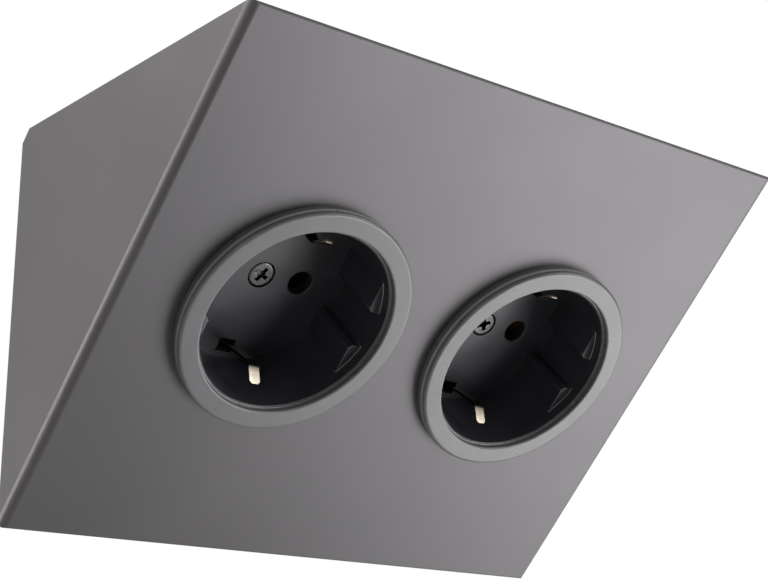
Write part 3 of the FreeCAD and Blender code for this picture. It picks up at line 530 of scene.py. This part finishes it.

# The centre screws: steel with a dull grey passivated face. A painted highlight runs round the
# rounded rim, and the cross recess and other hollows are painted dark as painted shade. Each
# holds the two halves of its socket together.

SCREW_GREY = (0.080, 0.081, 0.083)
SCREW_BRIGHT = (0.130, 0.130, 0.130)
SCREW_RIM_HIGHLIGHT = (0.62, 0.60, 0.54)
SCREW_PAINTED_SHADE = (0.006, 0.006, 0.006)
SCREW_ROUGHNESS = (0.30, 0.22)
SCREW_RELIEF = 0.000003
SCREW_EDGE = 0.00020
CROSS_DEPTH = 0.0008
HOLLOW_SHADED = 0.45
HOLLOW_UNSHADED = 0.85

screw_steel = finish("screw_steel", roughness=0.26, metallic=1.0)
tarnish = grain(screw_steel, scale=1300.0)
# Ambient occlusion darkens the cross recess and the hollows by the rim: painted shade.
hollow = add(screw_steel, "ShaderNodeAmbientOcclusion", Distance=CROSS_DEPTH).outputs["AO"]
oxide = blend(screw_steel, tarnish, SCREW_GREY, SCREW_BRIGHT)
shaded_oxide = blend(screw_steel, hollow, SCREW_PAINTED_SHADE, oxide, HOLLOW_SHADED, HOLLOW_UNSHADED)
# The pale colour along the rim's edge is a painted highlight.
surface(
    screw_steel,
    painted_edge_highlight(screw_steel, SCREW_EDGE, shaded_oxide, SCREW_RIM_HIGHLIGHT),
    between(screw_steel, tarnish, *SCREW_ROUGHNESS),
    grain(screw_steel, scale=4200.0, detail=2.0),
    SCREW_RELIEF,
    SCREW_EDGE,
)
for side in SIDES:
    wear(screw_steel, f"centre_screw_{side}")

# The front cover: sheet steel folded at both ends, with a satin metallic grey powder coat. The
# coat has a very fine orange peel, and handling has left faint smudges.

COAT_DARK = (0.1075, 0.1025, 0.1085)
COAT_LIGHT = (0.1120, 0.1065, 0.1125)
COAT_SMUDGE = (0.1190, 0.1140, 0.1190)
COAT_ROUGHNESS = (0.43, 0.46)
COAT_RELIEF = 0.000006
SMUDGE_PALE = (0.62, 0.80)
SMUDGE_DULL = (0.35, 0.75)

coat = finish("grey_coat", roughness=0.42, metallic=0.6)
flow = grain(coat, scale=26.0)
smudge = grain(coat, scale=46.0, detail=5.0)
peel = grain(coat, scale=1400.0, detail=2.0)
plain_coat = blend(coat, flow, COAT_DARK, COAT_LIGHT)
surface(
    coat,
    blend(coat, smudge, plain_coat, COAT_SMUDGE, *SMUDGE_PALE),
    between(coat, smudge, *COAT_ROUGHNESS, *SMUDGE_DULL),
    peel,
    COAT_RELIEF,
)
wear(coat, "front_cover")

# The bezel rings: smooth grey plastic caps that hide the flange of each body. They look much like
# the coat. A pale line painted round the side of each is a painted highlight.

BEZEL_LOW = (0.149, 0.142, 0.151)
BEZEL_HIGH = (0.161, 0.154, 0.163)
BEZEL_PAINTED_HIGHLIGHT = (0.480, 0.470, 0.480)
BEZEL_ROUGHNESS = (0.27, 0.34)
BEZEL_RELIEF = 0.000003
BEZEL_EDGE = 0.00015
LINE_BEGINS = 0.0579
LINE_FULL = 0.0582
LINE_FADES = 0.0587
LINE_ENDS = 0.0589

bezel = finish("bezel_grey", roughness=0.30)
height = rise_of(bezel)
cap_grey = blend(bezel, grain(bezel, scale=75.0, detail=4.0), BEZEL_LOW, BEZEL_HIGH)
# The pale band high on the side of each cap is a painted highlight.
highlighted = blend(bezel, height, cap_grey, BEZEL_PAINTED_HIGHLIGHT, LINE_BEGINS, LINE_FULL)
surface(
    bezel,
    blend(bezel, height, highlighted, cap_grey, LINE_FADES, LINE_ENDS),
    between(bezel, grain(bezel, scale=210.0), *BEZEL_ROUGHNESS),
    grain(bezel, scale=2600.0),
    BEZEL_RELIEF,
    BEZEL_EDGE,
)
for side in SIDES:
    wear(bezel, f"bezel_ring_{side}")

# The cover screws: countersunk steel, zinc plated. Three go through each of the cover's two
# flanges, flush with its outside, into the clinch nuts of the plate.

wear(plated("cover_screw_zinc", roughness=0.28), "cover_screws")
